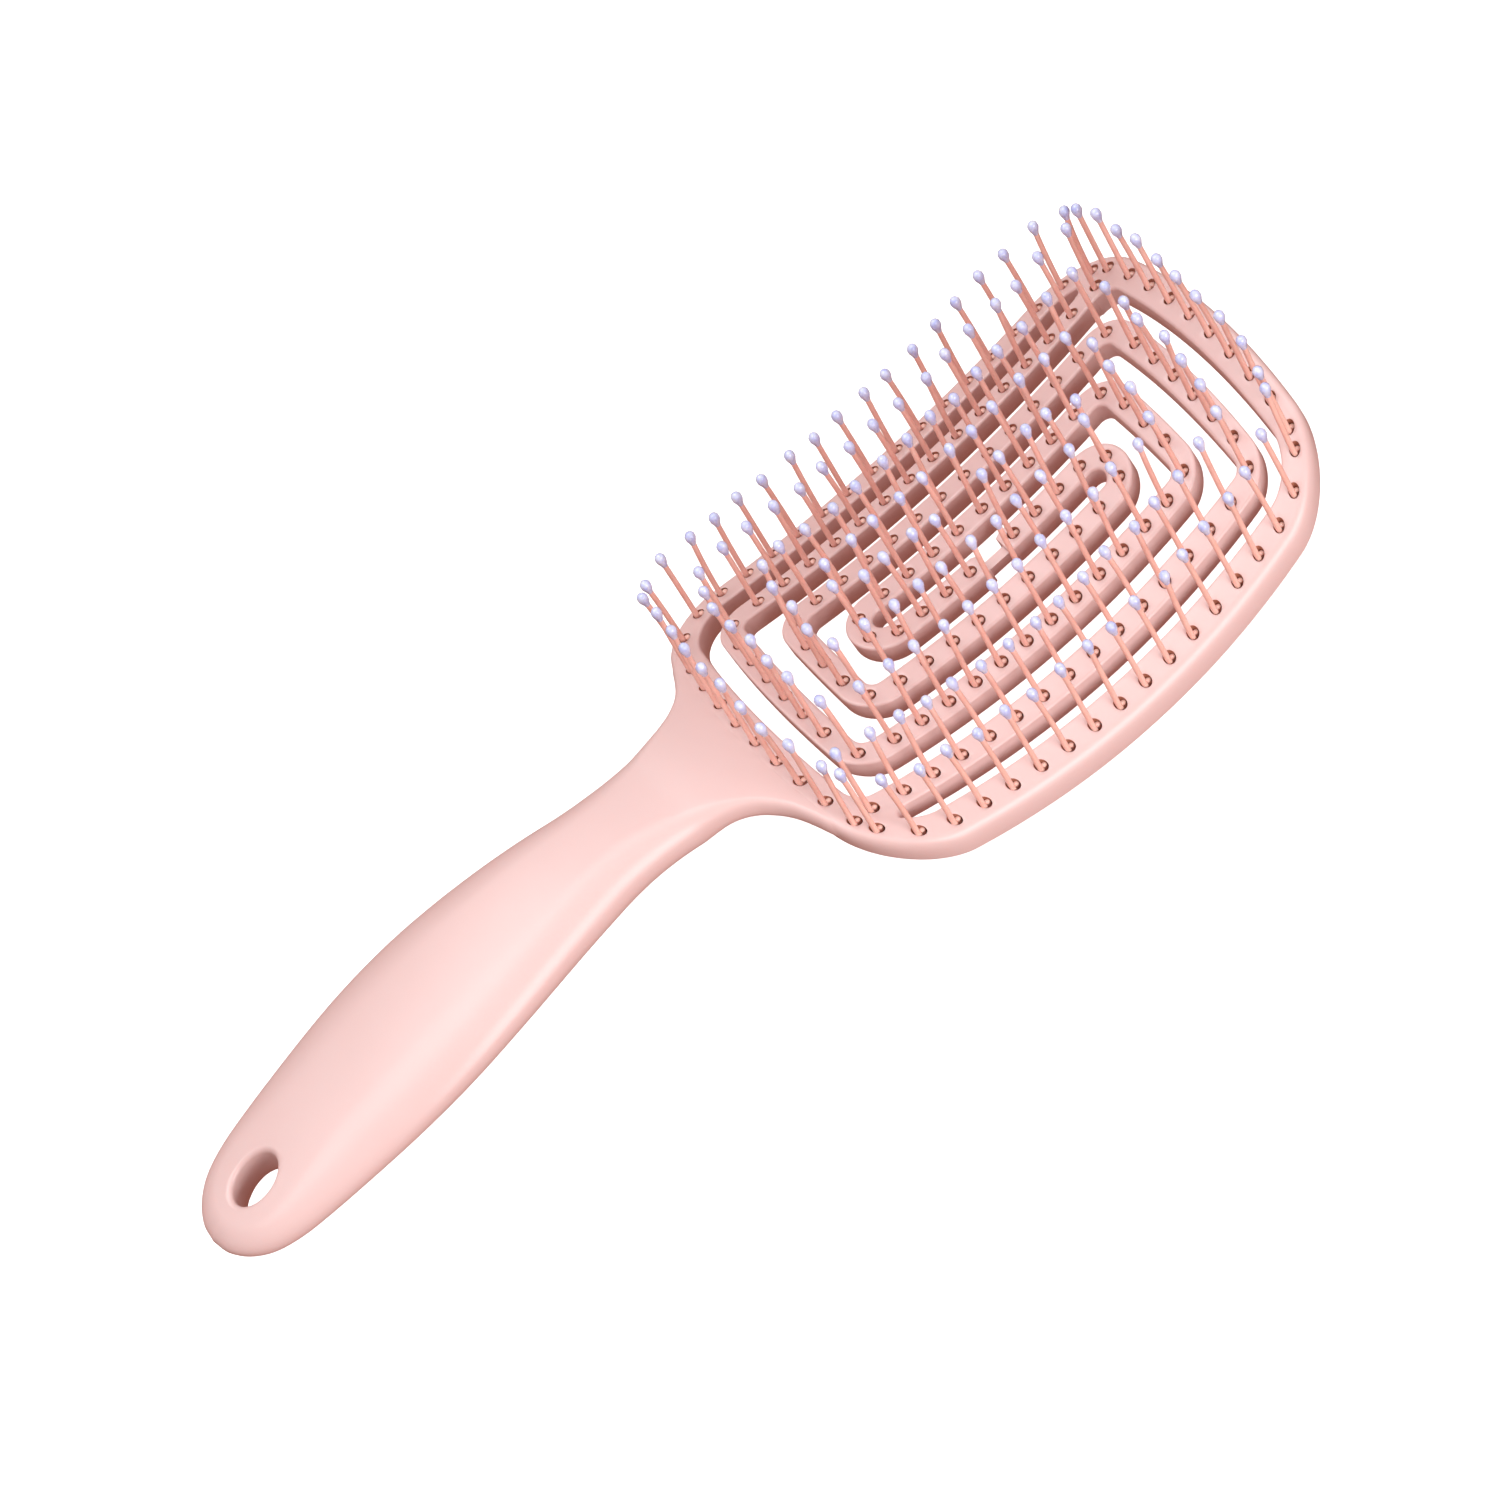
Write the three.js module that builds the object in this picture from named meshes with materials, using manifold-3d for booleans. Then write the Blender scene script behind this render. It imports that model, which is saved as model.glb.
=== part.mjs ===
// Flexible vented paddle brush: a one-piece handle and head rim, two spiral ribs that
// meet in a sprung core, and rows of ball-tipped pins standing in drilled holes.
// Millimetres. +X runs from the handle to the head, +Z is the side the pins stand on.
import * as THREE from 'three';
import { mergeVertices } from 'three/addons/utils/BufferGeometryUtils.js';
import Module from 'manifold-3d';

const wasm = await Module();
wasm.setup();

// ---- driving dimensions ----
const HEAD_X = 61.45;       // head centre, measured from the middle of the whole brush
const LIFT = 13.7;          // top of the head centre above the lowest point of the rim
const CURVE_LONG = 0.0031;  // the head's ends rise by this times x squared
const CURVE_SIDE = 0.0051;  // its sides drop by this times y squared
const BOW_ENDS = 0.00005;   // columns bow outwards
const BOW_ROWS = 0.000027;  // rows bow outwards
const RIM = { x: 52.8, y: 37.6, radius: 12, width: 6.6, thick: 5.5 };
const RIB = { width: 5, thick: 4.8, radius: 4.5 };
const CHAMFER = 0.8;        // on the edges of the rim and ribs
const STEP = 16;            // longest stretch drawn as one flat
const CUT = 0.3;            // gap between one moving stretch of rib and the next
const LINK = { length: 4.6, width: 2, top: -2, bottom: -4.2 };
const HOLE_R = 1.35;
const PIN = { radius: 0.55, ball: 1.1, height: 19, lean: 0.058, sides: 4 };
const TUNNEL = { width: 3.0, top: -2.6, bottom: -3.9 };  // hidden passage under the holes
const WEB = { width: 2.0, top: -2.9, bottom: -3.6 };     // what joins the feet of one row
const WEB_END = 0.8;         // web beyond the last pin
const TUNNEL_END = 1.2;      // passage beyond the last pin
const ROOT_X = 46.2;        // where each spiral arm leaves the solid corner of the rim
const HANG = { x: -166.5, long: 10.5, wide: 7.5 };

// Handle stations: x, half width, height of the centre line, half thickness.
const HANDLE = [
  [-179, 12.6, 2.4, 3.2],
  [-165, 13.6, 4.9, 4.2],
  [-150, 15.5, 7.3, 5.2],
  [-133, 16.5, 9.6, 6.0],
  [-116, 15.7, 11.2, 6.2],
  [-99, 13.3, 11.6, 6.0],
  [-83, 10.9, 10.6, 5.4],
  [-72, 11.3, 9.3, 4.6],
  [-64, 13.8, 8.2, 3.8],
  [-58, 18.4, 7.1, 3.1],
  [-54, 24, 5.9, 2.5],
];
const END_ROUND = 13;       // plan radius of the handle's end
const SECTION = 12;         // points round the handle

// Corners of one spiral arm, from its root to the core; the other arm is this one
// turned half way round.
const ARM = [
  [-ROOT_X, -28],
  [43.4, -28],
  [43.4, 18.3],
  [-34.4, 18.3],
  [-34.4, -9.1],
  [25.9, -9.1],
  [25.9, 0],
  [LINK.length / 2, 0],
];

const COLOUR = { shell: 0xf3c6c0, pin: 0xeba596 };

// ---- the curved head ----
function onHead(u, v, w) {
  const x = u * (1 - BOW_ENDS * v * v);
  const y = v * (1 - BOW_ROWS * u * u);
  const z = CURVE_LONG * x * x - CURVE_SIDE * y * y;
  return [x + HEAD_X, y, z + w + LIFT];
}

// ---- paths in the flat plan ----
function roundedPath(corners, radius, closed) {
  const points = [];
  const count = corners.length;
  const at = (i) => new THREE.Vector2(...corners[(i + count) % count]);
  for (let i = 0; i < count; i++) {
    const here = at(i);
    if (!closed && (i === 0 || i === count - 1)) {
      points.push(here);
      continue;
    }
    const back = at(i - 1).sub(here).normalize();
    const on = at(i + 1).sub(here).normalize();
    const centre = here.clone().addScaledVector(back, radius).addScaledVector(on, radius);
    for (let k = 0; k <= 4; k++) {
      const turn = (k / 4) * Math.PI / 2;
      const p = centre.clone();
      p.addScaledVector(on, -radius * Math.cos(turn));
      p.addScaledVector(back, -radius * Math.sin(turn));
      points.push(p);
    }
  }
  if (closed) points.push(points[0].clone());
  return points;
}

function lengthOf(path) {
  let sum = 0;
  for (let i = 1; i < path.length; i++) sum += path[i].distanceTo(path[i - 1]);
  return sum;
}

function pointAt(path, s) {
  let left = s;
  for (let i = 1; i < path.length; i++) {
    const run = path[i].distanceTo(path[i - 1]);
    if (left <= run) return path[i - 1].clone().lerp(path[i], left / run);
    left -= run;
  }
  return path[path.length - 1].clone();
}

// Part of a path, with a point at every bend and none closer together than half a unit.
function slice(path, from, to) {
  const marks = [from];
  let s = 0;
  for (let i = 1; i < path.length; i++) {
    s += path[i].distanceTo(path[i - 1]);
    if (s > marks[marks.length - 1] + 0.5 && s < to - 0.5) marks.push(s);
  }
  marks.push(to);
  const points = [pointAt(path, from)];
  for (let i = 1; i < marks.length; i++) {
    const pieces = Math.ceil((marks[i] - marks[i - 1]) / STEP);
    for (let k = 1; k <= pieces; k++) {
      points.push(pointAt(path, marks[i - 1] + (marks[i] - marks[i - 1]) * k / pieces));
    }
  }
  return points;
}

// ---- solids ----
function solid(positions, triangles) {
  return new wasm.Manifold(new wasm.Mesh({
    numProp: 3,
    vertProperties: new Float32Array(positions),
    triVerts: new Uint32Array(triangles),
  }));
}

// Rings of points, each listed left, top, right, bottom seen along the direction of travel.
function skin(rings, closed) {
  const size = rings[0].length;
  const triangles = [];
  const last = closed ? rings.length : rings.length - 1;
  for (let i = 0; i < last; i++) {
    const a = i * size;
    const b = ((i + 1) % rings.length) * size;
    for (let k = 0; k < size; k++) {
      const n = (k + 1) % size;
      triangles.push(a + k, b + n, b + k, a + k, a + n, b + n);
    }
  }
  if (!closed) {
    const b = (rings.length - 1) * size;
    for (let k = 1; k < size - 1; k++) {
      triangles.push(0, k + 1, k);
      triangles.push(b, b + k, b + k + 1);
    }
  }
  return solid(rings.flat(2), triangles);
}

// A band of material that follows a path in the plan and lies on the curved head.
function band(path, closed, width, top, bottom, chamfer) {
  const h = width / 2;
  const c = chamfer;
  const section = c > 0
    ? [[h, bottom + c], [h, top - c], [h - c, top], [c - h, top],
      [-h, top - c], [-h, bottom + c], [c - h, bottom], [h - c, bottom]]
    : [[h, bottom], [h, top], [-h, top], [-h, bottom]];
  const points = closed ? path.slice(0, -1) : path;
  const n = points.length;
  const rings = points.map((p, i) => {
    const before = closed ? points[(i + n - 1) % n] : points[Math.max(i - 1, 0)];
    const after = closed ? points[(i + 1) % n] : points[Math.min(i + 1, n - 1)];
    const d = after.clone().sub(before).normalize();
    return section.map(([side, w]) => onHead(p.x - d.y * side, p.y + d.x * side, w));
  });
  return skin(rings, closed);
}

function lathe(profile, sides) {
  const g = new THREE.LatheGeometry(profile.map(([r, z]) => new THREE.Vector2(r, z)), sides);
  g.rotateX(Math.PI / 2);
  return g;
}

function fromGeometry(source) {
  const g = source.clone();
  g.deleteAttribute('normal');
  g.deleteAttribute('uv');
  const m = mergeVertices(g, 1e-4);
  return solid(m.attributes.position.array, m.index.array);
}

// Stands a turned solid on the head, leaning towards the tip as the pins do.
function stand(geometry, p) {
  const g = geometry.clone();
  const shear = new THREE.Matrix4().set(1, 0, PIN.lean, 0, 0, 1, 0, 0, 0, 0, 1, 0, 0, 0, 0, 1);
  g.applyMatrix4(shear);
  g.translate(...onHead(p.x, p.y, 0));
  return fromGeometry(g);
}

const holeShape = lathe([[0, TUNNEL.top - 0.4], [HOLE_R, TUNNEL.top - 0.4], [HOLE_R, 2], [0, 2]], 4);
const pinShape = lathe([
  [0, WEB.top - 0.35],
  [PIN.radius, WEB.top - 0.35],
  [PIN.radius, PIN.height - 3.2],
  [PIN.ball, PIN.height - 1.5],
  [0, PIN.height],
], PIN.sides);

// A hidden passage along a path and the holes that open into it.
function drill(body, path, from, to, feet) {
  let tool = band(slice(path, from, to), false, TUNNEL.width, TUNNEL.top, TUNNEL.bottom, 0);
  for (const s of feet) tool = tool.add(stand(holeShape, pointAt(path, s)));
  return body.subtract(tool);
}

// Pins joined at their feet by a web that lies in the passage.
function pinRow(path, feet) {
  const ends = [feet[0] - WEB_END, feet[feet.length - 1] + WEB_END];
  let row = band(slice(path, ...ends), false, WEB.width, WEB.top, WEB.bottom, 0);
  for (const s of feet) row = row.add(stand(pinShape, pointAt(path, s)));
  return row;
}

function evenly(from, to, count) {
  return Array.from({ length: count }, (_, i) => from + (to - from) * i / (count - 1));
}

// ---- the mesh of a node ----
const group = new THREE.Group();

function addNode(name, body, colour, roughness) {
  const { vertProperties, triVerts } = body.getMesh();
  const g = new THREE.BufferGeometry();
  g.setAttribute('position', new THREE.Float32BufferAttribute(vertProperties, 3));
  g.setIndex(new THREE.Uint32BufferAttribute(triVerts, 1));
  const flat = g.toNonIndexed();
  flat.computeVertexNormals();
  const material = new THREE.MeshStandardMaterial({ color: colour, roughness, metalness: 0 });
  const mesh = new THREE.Mesh(flat, material);
  mesh.name = name;
  group.add(mesh);
}

// ---- handle ----
function handleBody() {
  const spline = new THREE.CatmullRomCurve3(HANDLE.map(([x, w, z]) => new THREE.Vector3(x, w, z)));
  const depth = new THREE.CatmullRomCurve3(HANDLE.map(([x, , , t]) => new THREE.Vector3(x, t, 0)));
  const start = HANDLE[0][0];
  const rings = [];
  const stations = [0, 0.006, 0.02, 0.04, 0.07];
  for (let k = 1; k <= 13; k++) stations.push(0.07 + 0.93 * k / 13);
  for (const s of stations) {
    const p = spline.getPoint(s);
    const t = depth.getPoint(s).y;
    const near = Math.min((p.x - start + 0.25) / END_ROUND, 1);
    const plan = Math.sqrt(1 - (1 - near) ** 2);
    const edge = Math.sqrt(1 - (1 - Math.min(near * 2.6, 1)) ** 2);
    const ring = [];
    for (let i = 0; i < SECTION; i++) {
      const a = (i / SECTION) * 2 * Math.PI;
      const y = p.y * plan * Math.sign(Math.cos(a)) * Math.abs(Math.cos(a)) ** 0.85;
      const z = t * edge * Math.sign(Math.sin(a)) * Math.abs(Math.sin(a)) ** 0.85;
      ring.push([p.x + HEAD_X, y, p.z + z + LIFT]);
    }
    rings.push(ring);
  }
  return skin(rings, false);
}

function hangHole() {
  const oval = new THREE.CylinderGeometry(1, 1, 40, 16);
  oval.rotateX(Math.PI / 2);
  oval.scale(HANG.long / 2, HANG.wide / 2, 1);
  oval.translate(HANG.x + HEAD_X, 0, LIFT);
  return fromGeometry(oval);
}

// ---- rim, solid corners and their pins ----
const rimCorners = [[RIM.x, -RIM.y], [RIM.x, RIM.y], [-RIM.x, RIM.y], [-RIM.x, -RIM.y]];
const rimLoop = roundedPath(rimCorners, RIM.radius, true);
const rimTurn = lengthOf(rimLoop);
const rimTwice = [...rimLoop, ...rimLoop.slice(1)];
const arc = lengthOf(rimLoop.slice(0, 5));
const tipMid = arc + RIM.y - RIM.radius;
const farMid = tipMid + RIM.y + RIM.x - 2 * RIM.radius + arc;

// Middle of each side, measured round the rim, and the pins either side of it.
const rimRows = [
  { name: 'pins_rim_tip', mid: tipMid, pitch: 6.4, half: 5 },
  { name: 'pins_rim_far', mid: farMid, pitch: 6.2, half: 9 },
  { name: 'pins_rim_handle', mid: tipMid + rimTurn / 2, pitch: 6.4, half: 5 },
  { name: 'pins_rim_near', mid: farMid + rimTurn / 2, pitch: 6.2, half: 9 },
];

let frame = band(slice(rimTwice, 0, rimTurn), true, RIM.width, 0, -RIM.thick, CHAMFER);
frame = frame.add(handleBody()).subtract(hangHole());
for (const side of [1, -1]) {
  const ends = [[-RIM.x + 1, -31.4], [-ROOT_X - CUT, -31.4]];
  const block = ends.map(([x, y]) => new THREE.Vector2(side * x, side * y));
  frame = frame.add(band(block, false, 11.8, 0, -RIB.thick, CHAMFER));
}
for (const row of rimRows) {
  const reach = row.pitch * (row.half - 0.5);
  row.feet = evenly(row.mid - reach, row.mid + reach, 2 * row.half);
  frame = drill(frame, rimTwice, row.feet[0] - TUNNEL_END, row.mid + reach + TUNNEL_END, row.feet);
}

// One pin stands in each solid corner, where a spiral arm is rooted.
const rootRows = [1, -1].map((side) => ({
  name: side > 0 ? 'pin_root_b' : 'pin_root_a',
  path: [[-52, -28], [-ROOT_X, -28]].map(([x, y]) => new THREE.Vector2(side * x, side * y)),
  feet: [3.6],
}));
for (const row of rootRows) frame = drill(frame, row.path, 2, 5.2, row.feet);

addNode('handle_and_rim', frame, COLOUR.shell, 0.4);
for (const row of rimRows) addNode(row.name, pinRow(rimTwice, row.feet), COLOUR.pin, 0.5);
for (const row of rootRows) addNode(row.name, pinRow(row.path, row.feet), COLOUR.pin, 0.5);

// ---- spiral arms ----
// Distances along an arm from its root: where it is cut, and where its pins stand.
const CUTS = [0, 127.8, 229.7, 288];
const STRETCHES = [
  { row: [...evenly(4.3, 82, 14), 88.6], column: evenly(94.9, 125, 6) },
  { row: [132.9, ...evenly(139.6, 203, 12)], column: [208.8, ...evenly(216, 228, 3)] },
  { row: [234.2, ...evenly(240.2, 286, 9)] },
];
const CORE_FEET = evenly(292.5, 319.5, 6);

const armB = roundedPath(ARM, RIB.radius, false);
const armA = armB.map((p) => new THREE.Vector2(-p.x, -p.y));
const armEnd = lengthOf(armB);
const bridge = [-1, 1].map((s) => new THREE.Vector2(s * (LINK.length / 2 + 0.8), 0));
let core = band(bridge, false, LINK.width, LINK.top, LINK.bottom, 0);

for (const [name, path] of [['b', armB], ['a', armA]]) {
  STRETCHES.forEach((rows, i) => {
    const from = CUTS[i] + (i ? CUT : 0);
    const to = CUTS[i + 1];
    const feet = Object.values(rows).flat();
    const rib = band(slice(path, from, to), false, RIB.width, 0, -RIB.thick, CHAMFER);
    const hollow = drill(rib, path, from + (i ? -1 : 1), to + 1, feet);
    addNode(`rib_${name}${i + 1}`, hollow, COLOUR.shell, 0.4);
    for (const [kind, stand] of Object.entries(rows)) {
      addNode(`pins_${name}${i + 1}_${kind}`, pinRow(path, stand), COLOUR.pin, 0.5);
    }
  });
  const bend = slice(path, CUTS[3] + CUT, armEnd);
  core = core.add(band(bend, false, RIB.width, 0, -RIB.thick, CHAMFER));
  core = drill(core, path, CUTS[3] - 1, armEnd - 1.1, CORE_FEET);
  addNode(`pins_core_${name}`, pinRow(path, CORE_FEET), COLOUR.pin, 0.5);
}
addNode('core', core, COLOUR.shell, 0.4);

export default group;
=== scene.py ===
"""Looks of the flexible vented paddle brush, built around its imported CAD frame."""
import math
import random

import bmesh
import bpy
from mathutils import Matrix, Vector


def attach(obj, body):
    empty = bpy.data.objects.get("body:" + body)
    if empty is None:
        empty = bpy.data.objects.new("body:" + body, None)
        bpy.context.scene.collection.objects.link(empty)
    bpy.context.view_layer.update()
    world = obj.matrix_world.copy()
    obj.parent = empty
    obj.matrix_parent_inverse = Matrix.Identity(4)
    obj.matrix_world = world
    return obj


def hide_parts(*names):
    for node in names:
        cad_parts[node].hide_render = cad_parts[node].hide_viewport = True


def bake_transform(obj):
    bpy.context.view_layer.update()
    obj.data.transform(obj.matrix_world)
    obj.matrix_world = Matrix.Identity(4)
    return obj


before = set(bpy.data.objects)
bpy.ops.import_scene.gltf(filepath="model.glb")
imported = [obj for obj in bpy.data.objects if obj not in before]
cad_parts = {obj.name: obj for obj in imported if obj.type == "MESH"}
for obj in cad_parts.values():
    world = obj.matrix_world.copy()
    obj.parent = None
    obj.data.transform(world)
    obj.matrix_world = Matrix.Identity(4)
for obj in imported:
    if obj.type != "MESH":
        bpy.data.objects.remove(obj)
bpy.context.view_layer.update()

# ---- driving dimensions: mm and degrees, in the frame of the CAD ----
MM = 0.001
TINY = 1e-6             # slack in comparing distances
SAME = 0.01             # points nearer than this count as one

# The head is a saddle whose plan bulges a little, measured from its centre.
HEAD_X = 61.45          # head centre
LIFT = 13.7             # top of the head centre above the floor
CURVE_LONG = 0.0031     # the head's ends rise by this times x squared
CURVE_SIDE = 0.0051     # its sides drop by this times y squared
BOW_ENDS = 0.00005      # bulge of its ends
BOW_ROWS = 0.000027     # bulge of its sides

# Rim and ribs, as bars of one cross-section along a middle line.
RIM_X, RIM_Y, RIM_RADIUS = 52.8, 37.6, 12
RIM_HALF, RIM_THICK = 3.3, 5.5
RIM_SHOULDER = (1.6, 2.6)   # the rounded outer shoulder, across and down
RIB_HALF, RIB_THICK, RIB_RADIUS = 2.5, 4.8, 4.5
EDGE = 0.55             # rounding of the other top edges
UNDER_EDGE = 0.6        # rounding of the lower edges
RUN_STEP, BEND_STEP = 1.6, 0.6      # longest facets along a run and in a bend
MIN_STEP = 0.2                      # shortest facet beside a hole
END_SHARE, END_LEVEL = 0.86, -2.36  # a free end narrows to this share, about this level

# Corners of one spiral arm from its root to the core, the other arm being the same
# turned half way round, and the distances along it where one moving part meets the next.
ROOT_X = 46.2           # where an arm leaves the corner of the rim
LINK_END = 2.3          # where the centre rib stops short of the middle
ARM = [(-ROOT_X, -28), (43.4, -28), (43.4, 18.3), (-34.4, 18.3), (-34.4, -9.1),
       (25.9, -9.1), (25.9, 0), (LINK_END, 0)]
CUTS = [0, 127.8, 229.7, 288]
BODIES = ["frame", "coil_1", "coil_2", "core"]
LINK_HALF, LINK_TOP, LINK_BOTTOM = 1.0, -2.0, -4.2
LINK_OVERLAP = 0.8      # how far the link reaches into the ribs

# The solid corner an arm grows from: x, y and radius of the round parts of its outline.
SLOT_END = (-44.6, -32.4, 1.9)      # the slot between the arm and the rim
ARM_FILLET = (-46, -22, 3.5)        # the hollow between the arm and the rim
RIM_TURN = (RIM_RADIUS - RIM_X, RIM_RADIUS - RIM_Y, 10)     # inside the rim
IN_ARM_Y = -26.5                    # a point of the outline inside the arm
CORNER_TOP = -0.01                  # keeps its top just under the top of the rim
CORNER_STRIPS = 13                  # strips that let it follow the curved head

# Holes.
HOLE_R, HOLE_LIP, HOLE_DEPTH = 1.2, 0.14, 3.8
HOLE_RINGS = [(HOLE_R + HOLE_LIP, 0.0), (HOLE_R + 0.04, -0.05), (HOLE_R, -HOLE_LIP),
              (HOLE_R, -HOLE_DEPTH)]
TILE = 1.7              # half size of the square patch around each hole
TILE_CELLS = 6

# Pins: a short leg, a fold inside the hole and a long leg that ends in a ball.
PIN_R, BALL_R, PIN_HEIGHT, PIN_LEAN = 0.56, 1.0, 19.0, 0.058
PIN_TAPER, TAPER_POINTS = 0.05, 18  # loss of radius over so many points of the pin
PIN_SIDES = 12
LONG_LEG, SHORT_LEG = Vector((-0.45, -0.3)), Vector((0.5, 0.34))
SHORT_LEVELS = (-0.8, -1.7)
FOLD_LEVEL = -2.9
FOLD_STEPS, LEG_STEPS = 6, 11
LEG_END = [(0.2, 0.5), (0.08, 0.85)]    # above the short leg: rise, share of the radius
# The ball end: distance above the shaft and share of the full radius.
BALL = [(0.0, 0.56), (0.45, 0.64), (0.95, 0.80), (1.45, 0.94), (1.9, 1.0), (2.35, 0.95),
        (2.75, 0.76), (3.0, 0.5), (3.1, 0.24)]
WOBBLE_X, WOBBLE_Y = 0.8, 0.7       # most that a tip strays
SIDE_PITCH, SIDE_HALF = 6.2, 9      # rim pins along a side, and half their number
END_PITCH, END_HALF = 6.4, 5        # the same across an end
ROOT_PIN = (-48.4, -28)             # the pin in each solid corner

# Half of the handle's outline from its end to where it runs into the rim: x, half width.
# The neck flares a little less than in the CAD.
OUTLINE = [
    (-179, 0), (-178.3, 3.9), (-176, 7.7), (-172.3, 10.7), (-167, 12.7), (-160, 14),
    (-150, 15.3), (-140, 16.2), (-131, 16.5), (-122, 16.2), (-112, 15.2), (-103, 13.9),
    (-94, 12.4), (-86, 11), (-79, 10.5), (-73, 10.7), (-68, 11.4), (-64.3, 12.4),
    (-61.4, 13.8), (-59.5, 15.3), (-58, 16.9), (-56.7, 18.9), (-55.5, 21.5),
    (-54.4, 24.3), (-53.2, 26.6),
]
# Heights of the handle along its middle: x, underside, top.
HEIGHTS = [
    (-179, 0.5, 5.6), (-165, 1.1, 9.1), (-150, 2.1, 12.5), (-133, 3.6, 15.6),
    (-116, 5.0, 17.4), (-99, 5.6, 17.6), (-83, 5.2, 16.0), (-72, 4.7, 13.9),
    (-64, 4.4, 12.0), (-54, 3.6, 9.0),
]
NECK_START, NECK_END = -72, -59     # where the handle takes on the curve of the head
MERGE_X = -54.3                     # how far the handle reaches into the rim
SUNK_TOP, SUNK_UNDER = 0.02, 0.05   # how far it stays inside the rim's faces there
NECK_DROP = 0.4                     # how much lower the widest line runs there
GRIP_HALF, GRIP_CROWN = 16.5, 1.4   # half width at the widest, fall of the top to there
END_ROUNDING, GRIP_ROUNDING = 4, 0.56   # mm, and share of the half width
END_X, END_LENGTH = -178, 30        # where the one rounding turns into the other
SHOULDER_X, SHOULDER_LENGTH = -84, 25   # and that one into the rim's shoulder
FLAT_STEPS, ROUND_STEPS = 8, 10     # facets from the middle to the rounding, and in it
HANG_X, HANG_LONG, HANG_WIDE = -166.5, 10.3, 8
HANG_TILT, HANG_FLARE = 0.25, 1.1

# Camera: place, then turns about Z, its own X and its own Z.
CAMERA_AT = (-83.41, -871.72, 1097.56)
CAMERA_SPIN, CAMERA_TILT, CAMERA_ROLL = -5.934, 39.071, -37.526
CAMERA_LENS, CAMERA_SENSOR = 193.97, 36
WORLD_BELOW, WORLD_ABOVE = (0.31, 0.10, 0.06), (0.64, 0.64, 0.64)
FLOOR_HALF = 6          # metres


def spread(first, last, count):
    """Evenly spaced values, both ends included."""
    return [first + (last - first) * i / (count - 1) for i in range(count)]


# Where the pins stand, measured along an arm from its root.
ARM_FEET = [
    {"row": spread(4.3, 82, 14) + [88.6], "column": spread(94.9, 125, 6)},
    {"row": [132.9] + spread(139.6, 203, 12), "column": [208.8] + spread(216, 228, 3)},
    {"row": [234.2] + spread(240.2, 286, 9)},
]
CORE_FEET = spread(292.5, 319.5, 6)


# ---- the curved head ----
def head_height(x, y):
    """Height of the top of the head over the top of its centre."""
    return CURVE_LONG * x * x - CURVE_SIDE * y * y


def placed(x, y, z):
    """A point measured from the head's centre, in metres in the shared frame."""
    return Vector((x + HEAD_X, y, z + LIFT)) * MM


def on_head(u, v, w=0.0):
    """A point of the flat plan, w above the curved top of the head."""
    x = u * (1 - BOW_ENDS * v * v)
    y = v * (1 - BOW_ROWS * u * u)
    return placed(x, y, head_height(x, y) + w)


def smooth(t):
    """Eases from 0 to 1."""
    t = min(max(t, 0.0), 1.0)
    return t * t * (3 - 2 * t)


# ---- paths in the flat plan ----
class Path:
    """Straight runs joined by quarter bends. Distances count a bend as four chords."""

    def __init__(self, corners, radius, closed=False):
        points = [Vector(c) for c in corners]
        count = len(points)
        quarter = 8 * radius * math.sin(math.pi / 16)
        self.parts = []
        self.length = 0.0
        last = None if closed else points[0]
        for i in range(count) if closed else range(1, count - 1):
            here = points[i]
            back = (points[i - 1] - here).normalized()
            on = (points[(i + 1) % count] - here).normalized()
            start, centre = here + back * radius, here + (back + on) * radius
            if last is not None:
                self._add((start - last).length, "run", last, -back)
            self._add(quarter, "bend", centre, (back, on, radius))
            last = here + on * radius
        final = points[-1]
        if closed:
            final = points[0] + (final - points[0]).normalized() * radius
        self._add((final - last).length, "run", last, (final - last).normalized())

    def _add(self, length, kind, origin, how):
        self.parts.append((self.length, length, origin, kind, how))
        self.length += length

    def at(self, s):
        """The point and the direction of travel at a distance along the path."""
        for start, length, origin, kind, how in self.parts:
            if s <= start + length + TINY:
                break
        if kind == "run":
            return origin + how * (s - start), how
        back, on, radius = how
        turn = (s - start) / length * math.pi / 2
        point = origin - on * radius * math.cos(turn) - back * radius * math.sin(turn)
        return point, on * math.sin(turn) - back * math.cos(turn)

    def bends_at(self, s):
        return any(start < s < start + length and kind == "bend"
                   for start, length, _, kind, _ in self.parts)

    def breaks(self):
        """Where runs and bends meet."""
        return [part[0] for part in self.parts]


def marks_along(path, start, end, patches):
    """Both ends, the edges of the hole patches and the breaks that are clear of them."""
    marks = {start, end}
    for low, high in patches:
        marks.update((low, high))
    for b in path.breaks():
        clear = all(b < low - MIN_STEP or b > high + MIN_STEP for low, high in patches)
        if start + MIN_STEP < b < end - MIN_STEP and clear:
            marks.add(b)
    return sorted(marks)


def stations(path, start, end, feet):
    """Distances at which a band is drawn, and whether each lies inside a hole patch."""
    patches = [(foot - TILE, foot + TILE) for foot in feet]
    marks = marks_along(path, start, end, patches)
    lows = {low for low, _ in patches}
    result = [(marks[0], False)]
    for low, high in zip(marks, marks[1:]):
        step = BEND_STEP if path.bends_at((low + high) / 2) else RUN_STEP
        inside = low in lows
        cells = TILE_CELLS if inside else max(1, math.ceil((high - low) / step))
        for k in range(1, cells + 1):
            result.append((low + (high - low) * k / cells, inside and k < cells))
    return result


# ---- meshes ----
def arc(centre, size, first, last, count):
    """Points of a quarter ellipse in the cross-section, without its first one."""
    points = []
    for a in spread(first, last, count + 1)[1:]:
        a = math.radians(a)
        points.append((centre[0] + size[0] * math.cos(a), centre[1] + size[1] * math.sin(a)))
    return points


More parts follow.
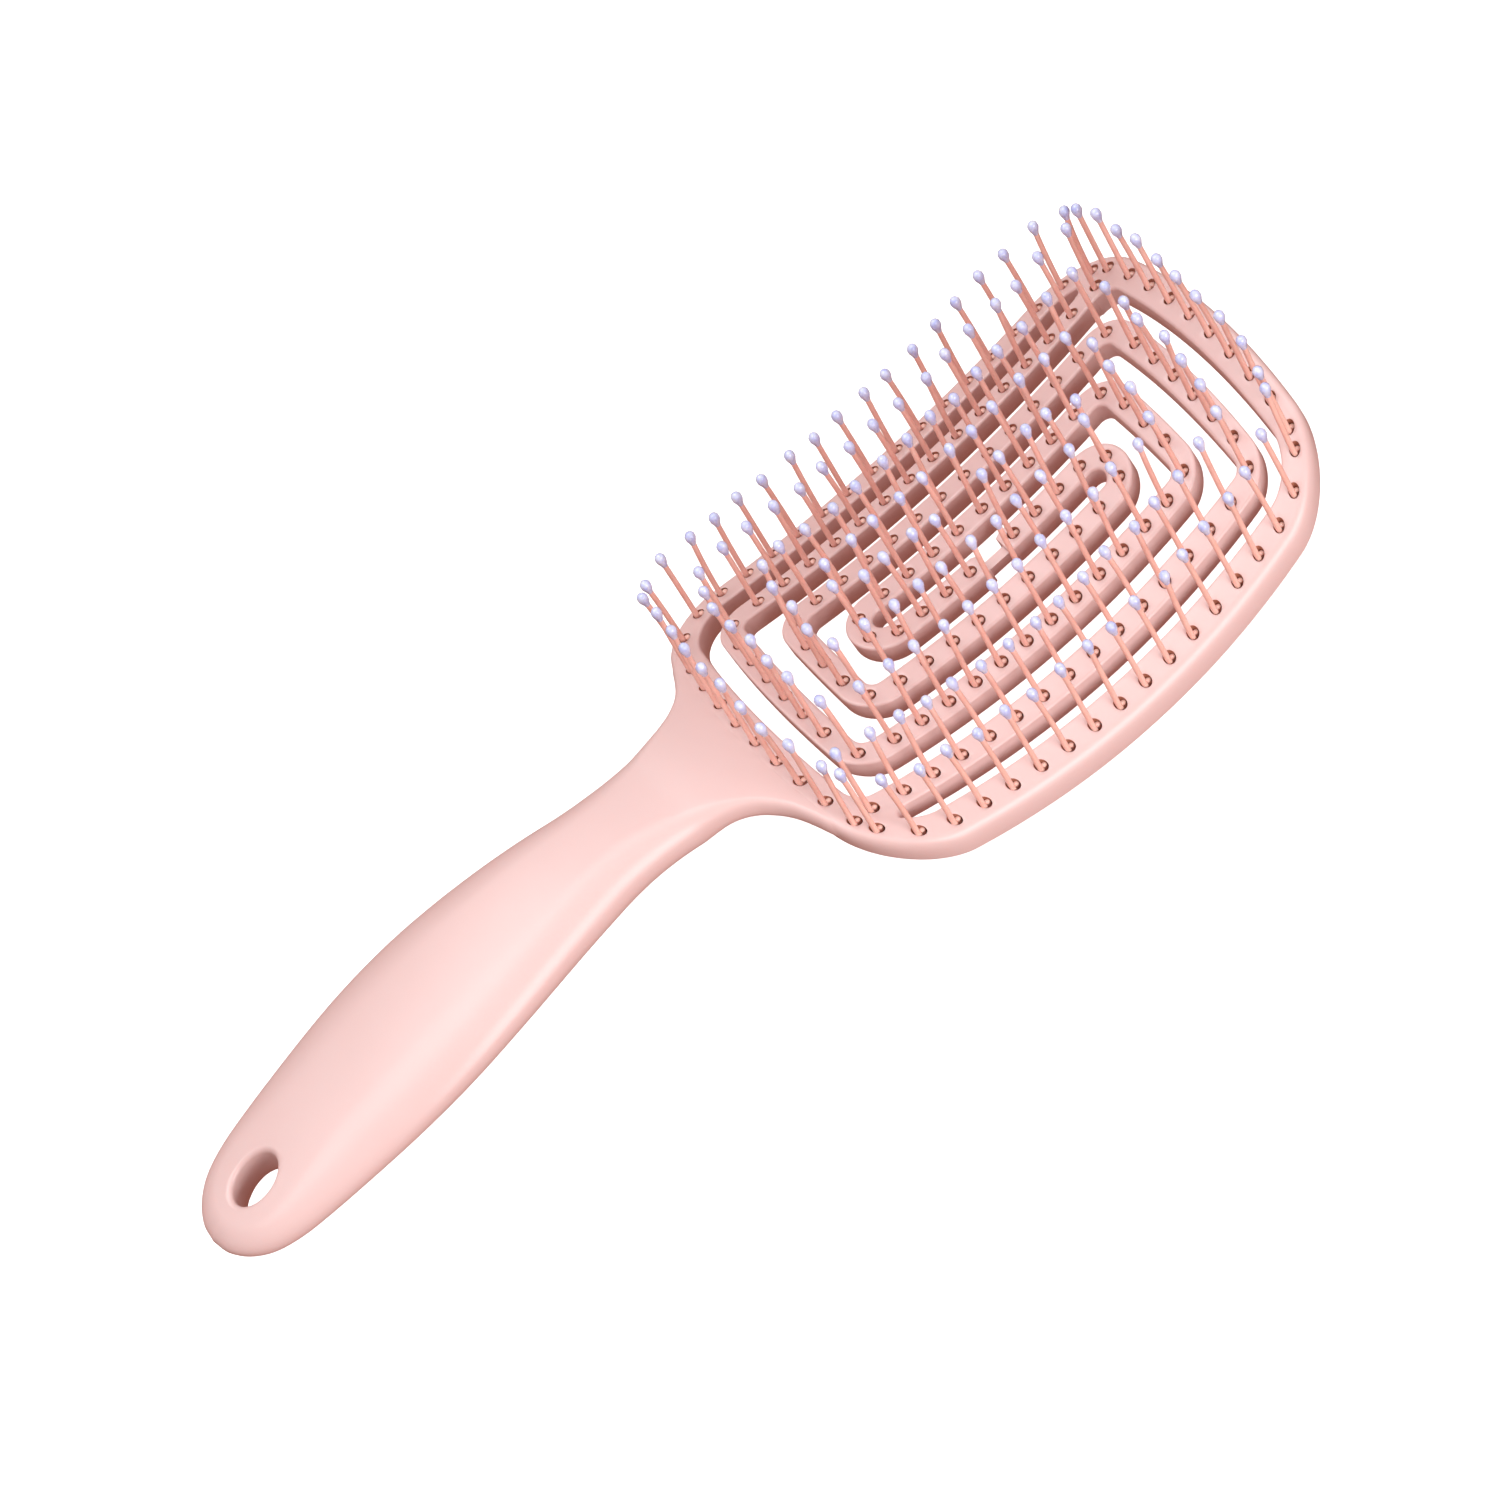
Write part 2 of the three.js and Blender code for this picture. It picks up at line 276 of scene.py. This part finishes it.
def cross_section(half, thick, right):
    """A band's outline from the left of its flat top round to the left again, with the
    right shoulder rounded by the given amounts across and down."""
    low = (UNDER_EDGE, UNDER_EDGE)
    section = [(across, 0.0) for across in spread(TILE, -TILE, TILE_CELLS + 1)]
    if half - right[0] > TILE + SAME:
        section.append((right[0] - half, 0.0))
    section += arc((right[0] - half, -right[1]), right, 90, 180, 5)
    section.append((-half, low[1] - thick))
    section += arc((low[0] - half, low[1] - thick), low, 180, 270, 3)
    section.append((half - low[0], -thick))
    section += arc((half - low[0], low[1] - thick), low, 270, 360, 3)
    section.append((half, -EDGE))
    section += arc((half - EDGE, -EDGE), (EDGE, EDGE), 0, 90, 4)
    return section


RIB_SECTION = cross_section(RIB_HALF, RIB_THICK, (EDGE, EDGE))
RIM_SECTION = cross_section(RIM_HALF, RIM_THICK, RIM_SHOULDER)


class Shape:
    """Vertices and faces being gathered for one object. A face's kind says which of the
    object's materials it has."""

    def __init__(self):
        self.points, self.faces, self.kinds = [], [], []

    def point(self, p):
        self.points.append(p)
        return len(self.points) - 1

    def face(self, corners, kind=0):
        self.faces.append(corners)
        self.kinds.append(kind)

    def bridge(self, one, two, kind=0):
        """A closed strip between two rings of equal size."""
        for i in range(len(one)):
            n = (i + 1) % len(one)
            self.face((one[i], one[n], two[n], two[i]), kind)

    def tube(self, rings):
        """Strips from each ring to the next, open at both ends."""
        for one, two in zip(rings, rings[1:]):
            self.bridge(one, two)

    def object(self, name, *materials):
        mesh = bpy.data.meshes.new(name)
        mesh.from_pydata([tuple(p) for p in self.points], [], self.faces)
        for material in materials:
            mesh.materials.append(material)
        mesh.polygons.foreach_set("material_index", self.kinds)
        made = bpy.data.objects.new(name, mesh)
        bpy.context.scene.collection.objects.link(made)
        finish_mesh(mesh)
        return made


def finish_mesh(mesh):
    """Welds, points the faces outwards and smooths the shading except at sharp edges."""
    work = bmesh.new()
    work.from_mesh(mesh)
    bmesh.ops.remove_doubles(work, verts=work.verts, dist=0.002 * MM)
    bmesh.ops.dissolve_degenerate(work, edges=work.edges, dist=0.001 * MM)
    bmesh.ops.recalc_face_normals(work, faces=work.faces)
    work.to_mesh(mesh)
    work.free()
    mesh.shade_smooth()
    mesh.set_sharp_from_angle(angle=math.radians(38))
    mesh.update()


def band_ring(shape, p, d, section, share, inside):
    """A band's outline round a point p of its path, which runs along d there. Inside a
    hole patch the points between the edges of the patch are left out."""
    ring = []
    for j, (side, w) in enumerate(section):
        if inside and 0 < j < TILE_CELLS:
            ring.append(None)
            continue
        u, v = p.x - d.y * side * share, p.y + d.x * side * share
        ring.append(shape.point(on_head(u, v, END_LEVEL + (w - END_LEVEL) * share)))
    return ring


def band(shape, path, start, end, feet, section, closed=False, round_end=False):
    """A bar of the given cross-section along a path, with a blind hole at each foot."""
    places = stations(path, start, end, feet)
    rings = []
    for s, inside in places:
        p, d = path.at(s % path.length if closed else s)
        share = END_SHARE if round_end and s > end - TINY else 1.0
        rings.append(band_ring(shape, p, d, section, share, inside))
    if closed:
        rings[-1] = rings[0]
    for one, two in zip(rings, rings[1:]):
        in_patch = None in one or None in two
        for j in range(TILE_CELLS if in_patch else 0, len(section)):
            n = (j + 1) % len(section)
            shape.face((one[j], one[n], two[n], two[j]))
    for foot in feet:
        first = min(range(len(places)), key=lambda i: abs(places[i][0] - (foot - TILE)))
        drill_patch(shape, *path.at(foot % path.length if closed else foot), rings[first:])
    if not closed:
        shape.face(tuple(rings[0]))
        shape.face(tuple(reversed(rings[-1])))


def drill_patch(shape, p, d, rings):
    """Fills the square patch left open at a foot with a blind hole and its lip."""
    cells = TILE_CELLS
    edge = [rings[0][k] for k in range(cells)]
    edge += [rings[k][cells] for k in range(cells)]
    edge += [rings[cells][cells - k] for k in range(cells)]
    edge += [rings[cells - k][0] for k in range(cells)]
    across = Vector((-d.y, d.x))
    last = edge
    for radius, w in HOLE_RINGS:
        ring = []
        for k in range(4 * cells):
            a = math.radians(135 + 360 * k / (4 * cells))
            q = p + (d * math.cos(a) + across * math.sin(a)) * radius
            ring.append(shape.point(on_head(q.x, q.y, w)))
        # Hole walls below the lip and the hole bottom take the second material, painted
        # shade.
        shape.bridge(last, ring, 1 if w <= -HOLE_LIP else 0)
        last = ring
    shape.face(tuple(last), 1)


def post(shape, levels, sides, place):
    """A closed round post. Each level is a pair of values and place(a, *level) puts down
    the point of that level at the angle a."""
    rings = []
    for level in levels:
        rings.append([shape.point(place(2 * math.pi * k / sides, *level))
                      for k in range(sides)])
    shape.tube(rings)
    shape.face(tuple(rings[0]))
    shape.face(tuple(rings[-1]))


def slab_rings(work, outline, top, thick):
    """Rings of vertices up the side of a slab and over its rounded top edge."""
    points = [Vector(p) for p in outline]
    normals = []
    for i in range(len(points)):
        d = (points[(i + 1) % len(points)] - points[i - 1]).normalized()
        normals.append(Vector((-d.y, d.x)))
    levels = [(0.0, -thick), (0.0, top - EDGE)]
    levels += [(EDGE * (1 - math.cos(a)), top - EDGE * (1 - math.sin(a)))
               for a in map(math.radians, (25, 50, 70, 90))]
    return [[work.verts.new((*(p + n * inset), w)) for p, n in zip(points, normals)]
            for inset, w in levels]


def slab(outline, top, thick):
    """A flat-topped piece of the given plan outline, bent to the head."""
    work = bmesh.new()
    rings = slab_rings(work, outline, top, thick)
    for one, two in zip(rings, rings[1:]):
        for i in range(len(one)):
            n = (i + 1) % len(one)
            work.faces.new((one[i], one[n], two[n], two[i]))
    work.faces.new(rings[-1])
    work.faces.new(list(reversed(rings[0])))
    ys = [y for _, y in outline]
    for y in spread(min(ys), max(ys), CORNER_STRIPS + 1)[1:-1]:
        every = list(work.verts) + list(work.edges) + list(work.faces)
        bmesh.ops.bisect_plane(work, geom=every, plane_co=(0, y, 0), plane_no=(0, 1, 0))
    for v in work.verts:
        v.co = on_head(*v.co)
    mesh = bpy.data.meshes.new("slab")
    bmesh.ops.triangulate(work, faces=work.faces)
    bmesh.ops.recalc_face_normals(work, faces=work.faces)
    work.to_mesh(mesh)
    work.free()
    made = bpy.data.objects.new("slab", mesh)
    bpy.context.scene.collection.objects.link(made)
    return made


def combine(base, joined, removed=()):
    """Adds some objects to a base and cuts others out of it. All of them are used up."""
    steps = [("UNION", other) for other in joined]
    steps += [("DIFFERENCE", other) for other in removed]
    for operation, other in steps:
        step = base.modifiers.new("combine", "BOOLEAN")
        step.operation = operation
        step.solver = "MANIFOLD"
        step.object = other
    bpy.context.view_layer.update()
    graph = bpy.context.evaluated_depsgraph_get()
    mesh = bpy.data.meshes.new_from_object(base.evaluated_get(graph))
    base.modifiers.clear()
    base.data = mesh
    for _, other in steps:
        bpy.data.objects.remove(other)
    finish_mesh(mesh)
    return base


# ---- materials ----
def principled(name, roughness):
    material = bpy.data.materials.new(name)
    material.use_nodes = True
    shader = material.node_tree.nodes["Principled BSDF"]
    shader.inputs["Roughness"].default_value = roughness
    return material, material.node_tree, shader


def colour_ramp(tree, low, high):
    """A ramp between two (position, colour) pairs."""
    ramp = tree.nodes.new("ShaderNodeValToRGB")
    for stop, (position, colour) in zip(ramp.color_ramp.elements, (low, high)):
        stop.position = position
        stop.color = (*colour, 1)
    return ramp


def mottled(tree, shader, light, dark, scale):
    """Base colour that drifts between two shades over the piece."""
    place = tree.nodes.new("ShaderNodeTexCoord")
    noise = tree.nodes.new("ShaderNodeTexNoise")
    noise.inputs["Scale"].default_value = scale
    noise.inputs["Detail"].default_value = 3
    ramp = colour_ramp(tree, (0.3, dark), (0.7, light))
    tree.links.new(place.outputs["Object"], noise.inputs["Vector"])
    tree.links.new(noise.outputs["Fac"], ramp.inputs["Fac"])
    tree.links.new(ramp.outputs["Color"], shader.inputs["Base Color"])
    return place


def grained(tree, shader, place, scale, strength, depth):
    """A fine grain in the surface, its depth in metres."""
    noise = tree.nodes.new("ShaderNodeTexNoise")
    noise.inputs["Scale"].default_value = scale
    noise.inputs["Detail"].default_value = 4
    bump = tree.nodes.new("ShaderNodeBump")
    bump.inputs["Strength"].default_value = strength
    bump.inputs["Distance"].default_value = depth
    tree.links.new(place.outputs["Object"], noise.inputs["Vector"])
    tree.links.new(noise.outputs["Fac"], bump.inputs["Height"])
    tree.links.new(bump.outputs["Normal"], shader.inputs["Normal"])


def translucent(shader, weight, radius, scale):
    """Lets light soak in, to a depth of scale metres times the radius of each colour."""
    shader.inputs["Subsurface Weight"].default_value = weight
    shader.inputs["Subsurface Radius"].default_value = radius
    shader.inputs["Subsurface Scale"].default_value = scale


def shell_material():
    """Satin moulded plastic, pale pink."""
    material, tree, shader = principled("pink_satin_plastic", 0.34)
    place = mottled(tree, shader, light=(0.742, 0.528, 0.510), dark=(0.727, 0.508, 0.488),
                    scale=30)
    grained(tree, shader, place, scale=2600, strength=0.12, depth=0.00004)
    translucent(shader, weight=0.12, radius=(1.0, 0.45, 0.35), scale=0.0015)
    return material


def painted_hole_shade_material():
    """The walls of the pin holes, painted deep terracotta as the shade inside the holes."""
    material, tree, shader = principled("painted_hole_shade", 0.3)
    place = mottled(tree, shader, light=(0.42, 0.17, 0.11), dark=(0.33, 0.12, 0.075),
                    scale=900)
    grained(tree, shader, place, scale=4000, strength=0.1, depth=0.00003)
    return material


def pin_material():
    """Flexible nylon, a deeper pink than the shell."""
    material, tree, shader = principled("salmon_nylon", 0.42)
    place = mottled(tree, shader, light=(0.93, 0.56, 0.48), dark=(0.88, 0.50, 0.42),
                    scale=400)
    grained(tree, shader, place, scale=5000, strength=0.1, depth=0.00002)
    translucent(shader, weight=0.2, radius=(1.0, 0.4, 0.3), scale=0.0008)
    return material


def tip_material():
    """Milky lilac resin on the ends of the pins."""
    material, tree, shader = principled("lilac_resin", 0.22)
    place = mottled(tree, shader, light=(0.70, 0.74, 0.95), dark=(0.48, 0.52, 0.84),
                    scale=700)
    grained(tree, shader, place, scale=3000, strength=0.08, depth=0.00003)
    translucent(shader, weight=0.5, radius=(0.6, 0.65, 1.0), scale=0.001)
    shader.inputs["Coat Weight"].default_value = 0.4
    return material


def floor_material():
    """Plain white paper."""
    material, tree, shader = principled("white_paper", 0.9)
    place = mottled(tree, shader, light=(0.93, 0.93, 0.93), dark=(0.92, 0.92, 0.92), scale=3)
    grained(tree, shader, place, scale=900, strength=0.02, depth=0.0001)
    return material


# ---- handle ----
def through(points, per_gap):
    """A smooth curve through points, as a list, with per_gap steps between each two."""
    points = [Vector(p) for p in points]
    ends = [2 * points[0] - points[1]] + points + [2 * points[-1] - points[-2]]
    curve = []
    for a, b, c, d in zip(ends, ends[1:], ends[2:], ends[3:]):
        for k in range(per_gap):
            t = k / per_gap
            curve.append(0.5 * ((2 * b) + (c - a) * t + (2 * a - 5 * b + 4 * c - d) * t * t
                                + (3 * b - a - 3 * c + d) * t ** 3))
    return curve + [points[-1]]


HANDLE_LEVELS = through(HEIGHTS, 8)


def handle_level(x):
    """Underside and top of the handle's middle at x."""
    x = min(max(x, HANDLE_LEVELS[0].x), HANDLE_LEVELS[-1].x)
    for low, high in zip(HANDLE_LEVELS, HANDLE_LEVELS[1:]):
        if x <= high.x:
            break
    t = (x - low.x) / (high.x - low.x)
    return low.y + (high.y - low.y) * t, low.z + (high.z - low.z) * t


def faces_at(p, at_neck):
    """Underside and top at a point of the plan. At the neck they become the head's."""
    low, high = handle_level(p.x)
    head = head_height(p.x, p.y)
    crown = GRIP_CROWN * (p.y / GRIP_HALF) ** 2
    return (low + (head - RIM_THICK + SUNK_UNDER - low) * at_neck,
            high - crown + (head - SUNK_TOP - high + crown) * at_neck)


def flat_points(inner):
    """From the middle line to where the rounding starts, square to the middle at first."""
    start = min(inner.x, MERGE_X)
    return [Vector((start + (inner.x - start) * t ** 4, inner.y * t))
            for t in spread(0, 1, FLAT_STEPS + 1)]


def handle_half_ring(point, outward):
    """From the top of the middle, over the side, to the bottom of the middle."""
    at_neck = smooth((point.x - NECK_START) / (NECK_END - NECK_START))
    from_end = smooth((point.x - END_X) / END_LENGTH)
    at_shoulder = smooth((point.x - SHOULDER_X) / SHOULDER_LENGTH)
    grip = END_ROUNDING + (GRIP_ROUNDING * point.y - END_ROUNDING) * from_end
    inset = grip + (RIM_SHOULDER[0] - grip) * at_shoulder
    side = sum(faces_at(point, at_neck)) / 2 - NECK_DROP * at_neck
    flat = flat_points(point - outward * inset)
    rounding = []
    for a in map(math.radians, spread(0, 90, ROUND_STEPS + 1)[1:]):
        rounding.append((point - outward * inset * (1 - math.sin(a)), math.cos(a)))

    def half(face):
        """One face of the half ring, from the middle to the side."""
        line = [(p, faces_at(p, at_neck)[face]) for p in flat]
        for p, share in rounding:
            line.append((p, side + (faces_at(p, at_neck)[face] - side) * share))
        return line

    under, top = half(0), half(1)
    return top + under[-2::-1]


def handle_object():
    curve = through(OUTLINE, 7)
    shape = Shape()
    rings = []
    for i, point in enumerate(curve):
        outward = Vector((-1, 0))
        if i > 0:
            d = (curve[min(i + 1, len(curve) - 1)] - curve[i - 1]).normalized()
            outward = Vector((-d.y, d.x))
        half = handle_half_ring(point, outward)
        ring = [shape.point(placed(p.x, p.y, z)) for p, z in half]
        ring += [shape.point(placed(p.x, -p.y, z)) for p, z in reversed(half[1:-1])]
        rings.append(ring)
    shape.tube(rings)
    shape.face(tuple(rings[-1]))
    return shape.object("handle")


def hang_hole_cutter():
    """An oval post that flares at both faces of the handle, so the hole's edges are round."""
    low, high = handle_level(HANG_X)
    angles = [math.radians(x) for x in (0, 30, 60, 90)]
    levels = [(low - 2, HANG_FLARE + 1)]
    levels += [(low + HANG_FLARE * (1 - math.cos(a)), HANG_FLARE * (1 - math.sin(a)))
               for a in angles]
    levels += [(high - HANG_FLARE * (1 - math.cos(a)), HANG_FLARE * (1 - math.sin(a)))
               for a in reversed(angles)]
    levels += [(high + 2, HANG_FLARE + 1)]

    def place(a, z, grow):
        x = (HANG_LONG / 2 + grow) * math.cos(a)
        y = (HANG_WIDE / 2 + grow) * math.sin(a)
        return placed(HANG_X + x, y, z + HANG_TILT * x)

    shape = Shape()
    post(shape, levels, 48, place)
    return shape.object("hang_hole")


# ---- rim and corners ----
def rim_rows():
    """Distances of the pins along the rim, for each row."""
    quarter = rim_path.parts[0][1]
    end_middle = quarter + RIM_Y - RIM_RADIUS
    side_middle = end_middle + RIM_Y + RIM_X - 2 * RIM_RADIUS + quarter
    half_way = rim_path.length / 2
    rows = {
        "pins_rim_tip": (end_middle, END_PITCH, END_HALF),
        "pins_rim_far": (side_middle, SIDE_PITCH, SIDE_HALF),
        "pins_rim_handle": (end_middle + half_way, END_PITCH, END_HALF),
        "pins_rim_near": (side_middle + half_way, SIDE_PITCH, SIDE_HALF),
    }
    feet = {}
    for name, (middle, pitch, half) in rows.items():
        reach = pitch * (half - 0.5)
        feet[name] = spread(middle - reach, middle + reach, 2 * half)
    return feet


rim_path = Path([(RIM_X, -RIM_Y), (RIM_X, RIM_Y), (-RIM_X, RIM_Y), (-RIM_X, -RIM_Y)],
                RIM_RADIUS, closed=True)
rim_feet = rim_rows()


def round_part(x, y, radius, first, last, steps):
    """Points of an arc in the plan, angles in degrees."""
    return [(x + radius * math.cos(a), y + radius * math.sin(a))
            for a in map(math.radians, spread(first, last, steps + 1))]


def corner_outline(side):
    """The solid corner an arm grows from, with the round ends of the slots beside it."""
    points = round_part(*SLOT_END, -90, -270, 12)
    points.append((SLOT_END[0], IN_ARM_Y))
    points += round_part(*ARM_FILLET, -90, -180, 8)
    points.append((RIM_TURN[0] - RIM_TURN[2], ARM_FILLET[1]))
    points += round_part(*RIM_TURN, 180, 247.5, 8)
    return [(side * x, side * y) for x, y in points]


def root_hole_cutter(side, hole_shade):
    """A post with a lip, for the blind hole in a corner."""
    lip = HOLE_R + HOLE_LIP
    levels = [(lip, 0.5), (lip, 0.0), (HOLE_R, -HOLE_LIP), (HOLE_R, -HOLE_DEPTH)]

    def place(a, radius, w):
        return on_head(side * ROOT_PIN[0] + radius * math.cos(a),
                       side * ROOT_PIN[1] + radius * math.sin(a), w)

    shape = Shape()
    post(shape, levels, 24, place)
    # The walls this cuts into a corner take the painted hole shade.
    return shape.object("root_hole", hole_shade)


def frame_object(plastic, hole_shade):
    """Rim, handle and solid corners in one piece."""
    shape = Shape()
    feet = sorted(f % rim_path.length for row in rim_feet.values() for f in row)
    first = (feet[0] + feet[-1] - rim_path.length) / 2
    band(shape, rim_path, first, first + rim_path.length, feet, RIM_SECTION, closed=True)
    rim = shape.object("handle_and_rim", plastic, hole_shade)
    handle = combine(handle_object(), [], [hang_hole_cutter()])
    corners = [slab(corner_outline(side), CORNER_TOP, RIB_THICK) for side in (1, -1)]
    holes = [root_hole_cutter(side, hole_shade) for side in (1, -1)]
    return combine(rim, [handle] + corners, holes)


# ---- pins ----
def pin_line(wobble):
    """Middle line of a folded pin, from the end of its short leg to the ball."""
    middle, reach = (LONG_LEG + SHORT_LEG) / 2, (SHORT_LEG - LONG_LEG) / 2
    line = [(*SHORT_LEG, z) for z in SHORT_LEVELS]
    for a in spread(0, math.pi, FOLD_STEPS + 1):
        p = middle + reach * math.cos(a)
        line.append((*p, FOLD_LEVEL - reach.length * math.sin(a)))
    for z in spread(FOLD_LEVEL, PIN_HEIGHT - BALL[-1][0], LEG_STEPS + 1)[1:]:
        t = max(z, 0) / PIN_HEIGHT
        p = LONG_LEG + Vector((PIN_LEAN * max(z, 0), 0)) + wobble * t * t
        line.append((*p, z))
    return [Vector(p) for p in line]


def pin_levels(line):
    """Centre, direction, radius and kind of each ring of a pin."""
    levels = []
    for i, p in enumerate(line):
        d = (line[min(i + 1, len(line) - 1)] - line[max(i - 1, 0)]).normalized()
        if i == 0:
            levels += [(p + Vector((0, 0, rise)), d, PIN_R * share, 0)
                       for rise, share in LEG_END]
        levels.append((p, d, PIN_R - PIN_TAPER * smooth(i / TAPER_POINTS), 0))
    return levels + [(p + d * along, d, BALL_R * share, 1) for along, share in BALL]


def add_pin(shape, foot, wobble):
    """One pin with a ball end, its foot at a point of the plan."""
    legs = SHORT_LEG - LONG_LEG
    plane = Vector((legs.y, -legs.x, 0)).normalized()
    base = on_head(foot.x, foot.y) / MM
    rings = []
    for p, d, radius, kind in pin_levels(pin_line(wobble)):
        other = d.cross(plane).normalized()
        ring = []
        for k in range(PIN_SIDES):
            a = 2 * math.pi * k / PIN_SIDES
            q = base + p + (plane * math.cos(a) + other * math.sin(a)) * radius
            ring.append(shape.point(q * MM))
        rings.append((ring, kind))
    for (one, _), (two, kind) in zip(rings, rings[1:]):
        shape.bridge(one, two, kind)
    shape.face(tuple(reversed(rings[0][0])), 0)
    shape.face(tuple(rings[-1][0]), 1)


draws = random.Random(7)


def pins_object(name, points, nylon, resin):
    """A row of pins, each straying a little in its own way."""
    shape = Shape()
    for foot in points:
        stray_x = draws.uniform(-WOBBLE_X, WOBBLE_X)
        stray_y = draws.uniform(-WOBBLE_Y, WOBBLE_Y)
        add_pin(shape, foot, Vector((stray_x, stray_y)))
    made = shape.object(name, nylon, resin)
    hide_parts(name)
    return made


# ---- putting it together ----
def bend_between(piece):
    """Bakes the piece's placement into its mesh; it is attached to no body."""
    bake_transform(piece)


def build_stretch(name, path, i, shell, pin):
    """One stretch of an arm with its pins. The rib and its row of pins are baked in place,
    and its column of pins is attached to the second of its two bodies."""
    rows = ARM_FEET[i]
    bodies = BODIES[i:i + 2]
    feet = sorted(f for row in rows.values() for f in row)
    shape = Shape()
    band(shape, path, CUTS[i], CUTS[i + 1], feet, RIB_SECTION)
    rib = shape.object(f"rib_{name}", *shell)
    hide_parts(f"rib_{name}")
    bend_between(rib)
    for kind, row in rows.items():
        pins = pins_object(f"pins_{name}_{kind}", [path.at(f)[0] for f in row], *pin)
        if kind == "row":
            bend_between(pins)
        else:
            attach(pins, bodies[1])


def build_arm(letter, side, shell, pin):
    """One spiral arm in its three stretches, and its pins on the core."""
    path = Path([(side * x, side * y) for x, y in ARM], RIB_RADIUS)
    for i in range(len(ARM_FEET)):
        build_stretch(f"{letter}{i + 1}", path, i, shell, pin)
    pins = pins_object(f"pins_core_{letter}", [path.at(f)[0] for f in CORE_FEET], *pin)
    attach(pins, "core")
    return path


def link_object():
    """The thin bar between the two inner ends."""
    link = Shape()
    outline = [(LINK_HALF, LINK_TOP), (-LINK_HALF, LINK_TOP), (-LINK_HALF, LINK_BOTTOM),
               (LINK_HALF, LINK_BOTTOM)]
    reach = LINK_END + LINK_OVERLAP
    rings = [[link.point(on_head(x, y, w)) for y, w in outline]
             for x in spread(-reach, reach, 9)]
    link.tube(rings)
    link.face(tuple(rings[0]))
    link.face(tuple(rings[-1]))
    return link.object("link")


def build_core(paths, shell):
    """Both inner ends of the spiral and the thin link that joins them."""
    shape = Shape()
    for path in paths:
        band(shape, path, CUTS[-1], path.length, CORE_FEET, RIB_SECTION, round_end=True)
    core = combine(shape.object("core", *shell), [link_object()])
    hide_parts("core")
    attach(core, "core")


def build_frame(shell, pin):
    """Handle and rim, and the pins that stand on them."""
    body = frame_object(*shell)
    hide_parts("handle_and_rim")
    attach(body, "frame")
    for name, feet in rim_feet.items():
        points = [rim_path.at(f % rim_path.length)[0] for f in feet]
        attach(pins_object(name, points, *pin), "frame")
    for name, side in (("pin_root_b", 1), ("pin_root_a", -1)):
        foot = Vector(ROOT_PIN) * side
        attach(pins_object(name, [foot], *pin), "frame")


# ---- camera, light and floor ----
def add_camera():
    data = bpy.data.cameras.new("camera")
    data.lens = CAMERA_LENS
    data.sensor_width = CAMERA_SENSOR
    data.clip_start, data.clip_end = 0.05, 50
    camera = bpy.data.objects.new("camera", data)
    turn = (Matrix.Rotation(math.radians(CAMERA_SPIN), 4, "Z")
            @ Matrix.Rotation(math.radians(CAMERA_TILT), 4, "X")
            @ Matrix.Rotation(math.radians(CAMERA_ROLL), 4, "Z"))
    camera.matrix_world = Matrix.Translation(Vector(CAMERA_AT) * MM) @ turn
    bpy.context.scene.collection.objects.link(camera)
    bpy.context.scene.camera = camera


def add_light(name, kind, direction, power):
    """A light that shines from the given direction towards the middle of the brush."""
    data = bpy.data.lights.new(name, kind)
    data.energy = power
    light = bpy.data.objects.new(name, data)
    light.rotation_euler = Vector(direction).to_track_quat("Z", "Y").to_euler()
    bpy.context.scene.collection.objects.link(light)
    return light


def add_sun(name, direction, power, spread_angle):
    """Even light from a wide disc in the given direction."""
    light = add_light(name, "SUN", direction, power)
    light.data.angle = math.radians(spread_angle)
    return light


def add_softbox(name, location, size, power):
    """A soft square light, its place and size in metres."""
    light = add_light(name, "AREA", location, power)
    light.location = location
    light.data.shape = "SQUARE"
    light.data.size = size
    return light


def add_world():
    """A studio that is bright above, dimmer towards the horizon and dark below."""
    world = bpy.data.worlds.new("studio")
    world.use_nodes = True
    tree = world.node_tree
    place = tree.nodes.new("ShaderNodeTexCoord")
    split = tree.nodes.new("ShaderNodeSeparateXYZ")
    ramp = colour_ramp(tree, (0.0, WORLD_BELOW), (0.9, WORLD_ABOVE))
    tree.links.new(place.outputs["Generated"], split.inputs["Vector"])
    tree.links.new(split.outputs["Z"], ramp.inputs["Fac"])
    tree.links.new(ramp.outputs["Color"], tree.nodes["Background"].inputs["Color"])
    bpy.context.scene.world = world


def add_floor():
    """A white floor that throws no colour onto the brush."""
    floor = Shape()
    signs = ((-1, -1), (1, -1), (1, 1), (-1, 1))
    floor.face([floor.point(Vector((x, y, 0)) * FLOOR_HALF) for x, y in signs])
    ground = floor.object("floor", floor_material())
    ground.visible_diffuse = False
    ground.visible_glossy = False
    return ground


def add_surroundings():
    """The brush and the floor have their own lights, so the floor stays evenly white."""
    add_world()
    bpy.context.scene.view_settings.view_transform = "Standard"
    ground = add_floor()
    floor_only = bpy.data.collections.new("floor_only")
    floor_only.objects.link(ground)
    not_floor = bpy.data.collections.new("not_floor")
    not_floor.objects.link(ground)
    not_floor.collection_objects[0].light_linking.link_state = "EXCLUDE"
    wash = add_sun("floor_wash", direction=(0, 0, 1), power=3.6, spread_angle=30)
    wash.data.use_shadow = False
    wash.light_linking.receiver_collection = floor_only
    lights = [
        add_sun("overhead", direction=(-0.1, 0.2, 0.9), power=1.73, spread_angle=50),
        add_softbox("front", location=(0.25, -1.25, 0.24), size=0.9, power=19),
        add_softbox("sheen", location=(0.05, 0.85, 1.1), size=0.3, power=1.2),
    ]
    for light in lights:
        light.light_linking.receiver_collection = not_floor


add_camera()
add_surroundings()
# The second shell material is painted shade for the walls of the pin holes.
shell = shell_material(), painted_hole_shade_material()
pin = pin_material(), tip_material()
build_frame(shell, pin)
arms = [build_arm(letter, side, shell, pin) for letter, side in (("b", 1), ("a", -1))]
build_core(arms, shell)
